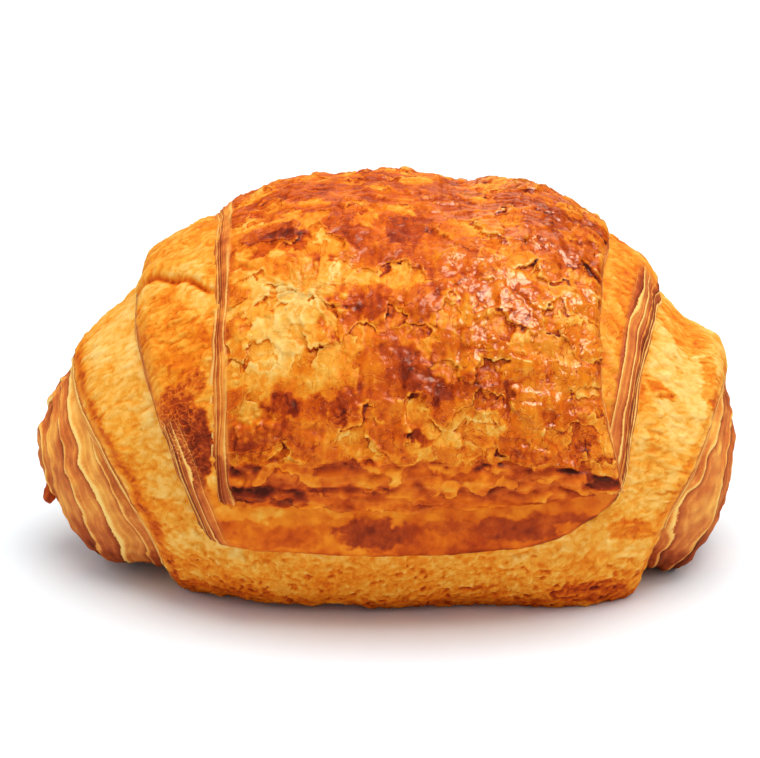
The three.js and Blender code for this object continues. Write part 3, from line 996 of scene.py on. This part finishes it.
def third_piece():
    patch = turn_patch(THIRD, *turn_grid(THIRD, None, THIRD_CELL, ring_angles()), closed=True)
    third_marks(patch)
    patch.keep = ~covered(patch, SECOND) | (patch.angle >= MERGE_FROM + MERGE_MARGIN)
    return make_piece("third_turn", patch)


def end_piece(name, side, seed):
    """One striped end, as rings from under the third turn out to the tip."""
    share = np.sin(np.linspace(0, np.pi / 2, END_COLUMNS))
    x = side * (END_START + (HALF_LENGTH - END_START) * share)
    x, angle = np.broadcast_arrays(x[None, :], ring_angles()[:, None])
    if side < 0:
        x, angle = x[:, ::-1], angle[:, ::-1]
    patch = Patch(x, angle, point_at(x, angle, core_radius(x, angle)), closed=True)
    core_marks(patch, side, seed)
    return make_piece(name, patch, END_FLOOR)


# The tail as in the solid: its top, length, radii and tilt; and its rings and sides.
TAIL_PLACE = (-64.2, 7.0, 17.0)
TAIL_LENGTH = 8.0
TAIL_NECK = 1.0
TAIL_BULB = 1.3
TAIL_TILT = 12.0
TAIL_RINGS = 60
TAIL_SIDES = 44


def tail_piece():
    """The small browned tail that hangs from the left end: a drop turned on an axis."""
    share = np.linspace(1, 0, TAIL_RINGS)
    turn = np.linspace(0, 360, TAIL_SIDES, endpoint=False)
    share, turn = np.broadcast_arrays(share[None, :], turn[:, None])
    rounding = np.sqrt(np.maximum(0, 1 - (2 * share - 1) ** 6))
    radius = mix(TAIL_BULB, TAIL_NECK, step(0.1, 0.6, share)) * rounding
    down = -TAIL_LENGTH * (1 - share)
    tilt = math.radians(TAIL_TILT)
    out = radius * np.cos(np.radians(turn))
    x = TAIL_PLACE[0] + out * math.cos(tilt) + down * math.sin(tilt)
    y = TAIL_PLACE[1] + radius * np.sin(np.radians(turn))
    z = TAIL_PLACE[2] - out * math.sin(tilt) + down * math.cos(tilt)
    patch = Patch(x, turn, np.stack([x, y, z], axis=-1), closed=True)
    grain = noise(x / 0.9, y / 0.9, z / 1.6, 411)
    patch.lift = 0.22 * grain * step(0, 0.5, radius)
    # The grain term paints the bumps paler and the dips browner, painted light and shade.
    tone = 0.7 + 0.12 * patch.noise(2, 412) - 0.12 * grain
    set_marks(patch, tone, lined=0.4, place=0.5, gloss=0.5)
    return make_piece("left_tail", patch)


# ---- material


def linear(*channels):
    """A colour given as 0 to 255 on screen, as the numbers that a shader needs."""
    values = [c / 255 for c in channels]
    return [v / 12.92 if v <= 0.04045 else ((v + 0.055) / 1.055) ** 2.4 for v in values] + [1]


# Colours of the crust and of its cut layers, from the palest to the brownest tone.
CRUST_TONES = (
    (0.0, (254, 210, 124)),
    (0.15, (250, 194, 98)),
    (0.3, (245, 166, 52)),
    (0.45, (237, 131, 17)),
    (0.6, (216, 93, 4)),
    (0.72, (184, 63, 3)),
    (0.84, (142, 40, 5)),
    (1.0, (78, 22, 8)),
)
LAYER_TONES = (
    (0.0, (255, 214, 122)),
    (0.25, (248, 175, 76)),
    (0.5, (216, 118, 51)),
    (0.72, (175, 75, 33)),
    (1.0, (104, 35, 11)),
)
# The thin layers of the flap's skin from the lowest up: its mark, how much browner it
# makes the dough, how much paler its torn edge is, and how much darker the gap below is painted, as shade
# under the edge.
SKIN_LAYERS = (
    ("low", -0.04, 0.07, 0.09),
    ("under", -0.11, 0.07, 0.12),
    ("skin", 0.23, 0.09, 0.12),
)
# Millimetres that a bump of 1 stands out.
BUMP_HEIGHT = 0.25


class Nodes:
    """Short calls for building a material's node tree."""

    def __init__(self, tree):
        self.tree = tree
        self.place = self.put("ShaderNodeTexCoord").outputs["Object"]
        self.speck = self.grain(0.45, 3.0, 0.6)
        self.blotch = self.grain(1.5, 3.0, 0.6)
        self.marble = self.grain(5.0, 2.0, 0.5)

    def put(self, kind, inputs=(), **settings):
        """A new node with these settings, and these values or links in its sockets."""
        node = self.tree.nodes.new(kind)
        for key, value in settings.items():
            setattr(node, key, value)
        for key, value in dict(inputs).items():
            if isinstance(value, bpy.types.NodeSocket):
                self.tree.links.new(value, node.inputs[key])
            else:
                node.inputs[key].default_value = value
        return node

    def math(self, operation, *values):
        return self.put("ShaderNodeMath", enumerate(values), operation=operation).outputs[0]

    def add(self, a, b):
        return self.math("ADD", a, b)

    def times(self, a, b):
        return self.math("MULTIPLY", a, b)

    def plus(self, total, *parts):
        """The total and each part's value times its share."""
        for value, share in parts:
            total = self.add(total, self.times(value, share))
        return total

    def mark(self, name):
        return self.put("ShaderNodeAttribute", attribute_name=name).outputs["Fac"]

    def fade(self, value, start, end):
        """0 where value is at start and 1 at end, smooth between them."""
        given = enumerate((value, start, end))
        node = self.put("ShaderNodeMapRange", given, interpolation_type="SMOOTHSTEP")
        return node.outputs[0]

    def ramp(self, value, stops):
        node = self.put("ShaderNodeValToRGB", {0: value})
        elements = node.color_ramp.elements
        while len(elements) < len(stops):
            elements.new(1.0)
        for element, (place, colour) in zip(elements, stops):
            element.position = place
            element.color = linear(*colour)
        return node.outputs[0]

    def blend(self, share, a, b):
        """a where share is 0 and b where it is 1."""
        return self.put("ShaderNodeMix", {0: share, 2: a, 3: b}).outputs[0]

    def blend_colours(self, share, a, b):
        return self.put("ShaderNodeMix", {0: share, 6: a, 7: b}, data_type="RGBA").outputs[2]

    def creases(self, size_mm, width, bend=0.0):
        """Thin wandering lines, 1 on a line and 0 between."""
        rough = self.math("ABSOLUTE", self.grain(size_mm, 1.0, 0.5, bend))
        return self.fade(rough, width, 0.2 * width)

    def grain(self, size_mm, detail, rough, bend=0.0):
        """Noise with features of that size, centred on 0."""
        scale = 1 / (size_mm * MM)
        given = {"Vector": self.place, "Scale": scale, "Detail": detail, "Roughness": rough}
        node = self.put("ShaderNodeTexNoise", {**given, "Distortion": bend})
        return self.math("SUBTRACT", node.outputs["Fac"], 0.5)


def skin_layers(n, tone, height):
    """Adds the torn skin, with painted shade in the gap under each lower torn edge; also gives the share
    of the top layer that is there.
    """
    torn = n.plus(n.times(n.speck, 0.35), (n.blotch, 0.35))
    crisp = n.mark("crisp")
    for name, browning, pale_rim, gap_shade in SKIN_LAYERS:
        inside = n.add(n.mark(name), torn)
        there = n.blend(crisp, n.fade(inside, -0.6, 0.5), n.fade(inside, -0.03, 0.05))
        rim = n.times(n.fade(inside, 0.08, 0.2), n.fade(inside, 0.7, 0.2))
        # gap is painted shade just under a torn edge, strongest where the edge faces down.
        gap = n.times(n.fade(inside, -0.2, -0.04), n.fade(inside, 0.13, 0.02))
        edge = n.plus(n.times(rim, -pale_rim), (gap, gap_shade))
        tone = n.plus(tone, (there, browning), (edge, crisp))
        height = n.plus(height, (there, 0.2))
    return tone, height, there


def fine_lines(n, tone, height, has_skin):
    """Adds fold lines in the bare dough, and cracks and veins in the skin."""
    bare = n.math("SUBTRACT", 1.0, n.math("MAXIMUM", has_skin, n.mark("lined")))
    folds = n.plus(n.creases(2.1, 0.028), (n.creases(1.1, 0.035), 0.6))
    folds = n.times(folds, n.times(bare, n.mark("folded")))
    cracks = n.times(n.creases(3.2, 0.014, 1.2), n.mark("crackled"))
    veins = n.times(n.creases(2.3, 0.03, 1.6), n.mark("crackled"))
    tone = n.plus(tone, (folds, 0.06), (cracks, 0.13), (veins, -0.09))
    height = n.plus(height, (folds, -0.3), (cracks, -0.35), (veins, 0.35))
    return tone, height


def cut_layers(n, height):
    """The tone of the turns' cut layers, with painted shade at the foot of each ledge, and the height with
    their ledges added.
    """
    place = n.plus(n.mark("place"), (n.speck, 0.2))
    part = n.math("FRACT", place)
    sheet = {"W": n.math("FLOOR", place)}
    random = n.put("ShaderNodeTexWhiteNoise", sheet, noise_dimensions="1D")
    shade = n.math("SUBTRACT", random.outputs["Value"], 0.5)
    edge = n.times(n.fade(part, 0.74, 0.86), n.fade(part, 1.0, 0.93))
    gap = n.fade(part, 0.18, 0.0)
    fine_part = n.math("FRACT", n.times(place, 3.0))
    fine_edge = n.times(n.fade(fine_part, 0.6, 0.8), n.fade(fine_part, 1.0, 0.9))
    # gap is painted shade at the foot of each layer's ledge; part makes each layer a little paler towards
    # its raised edge, painted light.
    tone = n.plus(n.mark("tone"), (shade, 0.4), (part, -0.06), (gap, 0.2), (edge, -0.34))
    tone = n.plus(tone, (fine_edge, -0.09), (n.speck, 0.16), (n.blotch, 0.14), (n.marble, 0.2))
    ledges = n.times(n.plus(edge, (gap, -0.5)), n.mark("lined"))
    return tone, n.plus(height, (ledges, 0.5))


def shine(n, has_skin):
    """Roughness and the weight of a thin clear coat, which is strongest on the skin."""
    gloss = n.mark("gloss")
    skin_gloss = n.times(gloss, n.add(n.times(has_skin, 0.7), 0.3))
    rough = n.add(n.times(gloss, -0.12), 0.6)
    rough = n.plus(rough, (skin_gloss, -0.15), (n.blotch, 0.18))
    return rough, n.math("MAXIMUM", n.times(skin_gloss, 0.85), n.times(gloss, 0.1))


def crust_material():
    material = bpy.data.materials.new("crust")
    material.use_nodes = True
    material.node_tree.nodes.clear()
    n = Nodes(material.node_tree)

    tone = n.plus(n.mark("tone"), (n.speck, 0.1), (n.blotch, 0.08), (n.marble, 0.3))
    height = n.plus(n.times(n.speck, 0.2), (n.blotch, 0.35))
    tone, height, has_skin = skin_layers(n, tone, height)
    tone, height = fine_lines(n, tone, height, has_skin)
    cut_tone, height = cut_layers(n, height)
    net_lines = n.times(n.creases(1.2, 0.06), n.mark("netted"))
    crust = n.ramp(n.plus(tone, (net_lines, -0.2)), CRUST_TONES)
    layers = n.ramp(n.plus(cut_tone, (net_lines, -0.28)), LAYER_TONES)
    rough, coat = shine(n, has_skin)
    bumps = {"Strength": 0.7, "Distance": BUMP_HEIGHT * MM, "Height": height}
    bump = n.put("ShaderNodeBump", bumps).outputs[0]
    surface = {
        "Base Color": n.blend_colours(n.mark("lined"), crust, layers),
        "Roughness": rough,
        "IOR": 1.45,
        "Specular IOR Level": 0.12,
        "Coat Weight": coat,
        "Coat Roughness": 0.12,
        "Coat IOR": 1.5,
        "Normal": bump,
        "Coat Normal": bump,
    }
    shader = n.put("ShaderNodeBsdfPrincipled", surface)
    n.put("ShaderNodeOutputMaterial", {0: shader.outputs[0]})
    return material


# ---- stage, light, camera

# From here on, lengths are in metres.
FLOOR_HALF = 40.0
FLOOR_DROP = 0.0001
FLOOR_COLOUR = (0.85, 0.93, 0.98, 1)
FLOOR_ROUGHNESS = 0.9
WORLD_STRENGTH = 0.4
# Suns: their width in degrees; name, the way to it as x, y and z, strength.
SUN_WIDTH = 50.0
SUNS = (
    ("top_light", (0.08, -0.05, 1.0), 2.0),
    ("left_light", (-1.0, 0.25, 0.75), 0.85),
    ("right_light", (1.0, 0.25, 0.75), 0.75),
)
# Softboxes, turned to one point: name, place, size, power. The glints are only mirrored.
LIT_POINT = (0, 0, 0.04)
KEY = ("key_light", (0.30, -0.45, 0.72), (0.5, 0.5), 1.2)
GLINTS = (
    ("glint_light", (0.40, -0.34, 0.74), (0.56, 0.56), 14.0),
    ("back_glint_light", (0.08, 0.66, 0.58), (0.8, 0.5), 2.0),
)
GLINT_COLOUR = (1.0, 0.88, 0.68)
CAMERA_ELEVATION = 20.0
CAMERA_DISTANCE = 0.55
CAMERA_LENS = 137.2
CAMERA_TARGET = (-0.0011, 0.0, 0.0374)


def floor_material():
    material = bpy.data.materials.new("white_floor")
    material.use_nodes = True
    shader = material.node_tree.nodes["Principled BSDF"]
    shader.inputs["Base Color"].default_value = FLOOR_COLOUR
    shader.inputs["Roughness"].default_value = FLOOR_ROUGHNESS
    return material


def add_floor():
    mesh = bpy.data.meshes.new("floor")
    half = FLOOR_HALF
    corners = [(-half, -half, 0), (half, -half, 0), (half, half, 0), (-half, half, 0)]
    mesh.from_pydata(corners, [], [(0, 1, 2, 3)])
    mesh.materials.append(floor_material())
    floor = add_object("floor", mesh)
    floor.location.z = -FLOOR_DROP
    floor.visible_glossy = False


def add_light(name, kind, power):
    light = add_object(name, bpy.data.lights.new(name, kind))
    light.data.energy = power
    return light


def add_softbox(name, place, size, power):
    box = add_light(name, "AREA", power)
    box.data.shape = "RECTANGLE"
    box.data.size, box.data.size_y = size
    box.location = place
    box.rotation_euler = (Vector(LIT_POINT) - Vector(place)).to_track_quat("-Z", "Y").to_euler()
    return box


def add_sun(name, way, strength):
    """A wide soft light from far away, as even over the floor as over the object."""
    sun = add_light(name, "SUN", strength)
    sun.data.angle = math.radians(SUN_WIDTH)
    sun.rotation_euler = Vector(way).to_track_quat("Z", "Y").to_euler()
    return sun


def add_world():
    world = bpy.data.worlds.new("studio")
    bpy.context.scene.world = world
    world.use_nodes = True
    background = world.node_tree.nodes["Background"]
    background.inputs["Color"].default_value = (1, 1, 1, 1)
    background.inputs["Strength"].default_value = WORLD_STRENGTH
    world.cycles_visibility.glossy = False


def add_lights():
    for light in [add_sun(*sun) for sun in SUNS] + [add_softbox(*KEY)]:
        light.visible_glossy = False
    for glint in [add_softbox(*box) for box in GLINTS]:
        glint.data.color = GLINT_COLOUR
        glint.visible_diffuse = False


def add_camera():
    data = bpy.data.cameras.new("camera")
    data.lens = CAMERA_LENS
    data.clip_start = 0.01
    data.clip_end = 20.0
    tilt = math.radians(CAMERA_ELEVATION)
    back = Vector((0, -math.cos(tilt), math.sin(tilt)))
    camera = add_object("camera", data)
    camera.location = Vector(CAMERA_TARGET) + back * CAMERA_DISTANCE
    camera.rotation_euler = (-back).to_track_quat("-Z", "Y").to_euler()
    bpy.context.scene.camera = camera


# ---- the scene


def settle(pieces):
    """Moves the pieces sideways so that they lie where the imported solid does."""
    corners = np.array([corner for piece in pieces for corner in piece.bound_box])
    middle = Vector((corners.min(axis=0) + corners.max(axis=0)) / 2)
    shift = (solid_low + solid_high) / 2 - middle
    shift.z = 0
    for piece in pieces:
        piece.data.transform(Matrix.Translation(shift))
        piece.data.update()


add_camera()
add_floor()
add_world()
add_lights()

skins = [
    *flap_pieces(),
    second_piece(),
    third_piece(),
    *[end_piece(*end) for end in ENDS],
    tail_piece(),
]
settle(skins)
crust = crust_material()
for skin_piece in skins:
    skin_piece.data.materials.append(crust)
    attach(skin_piece, BODY)
    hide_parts(NODE)

bpy.context.scene.view_settings.view_transform = "Standard"
bpy.context.scene.view_settings.look = "None"

bpy.context.view_layer.update()
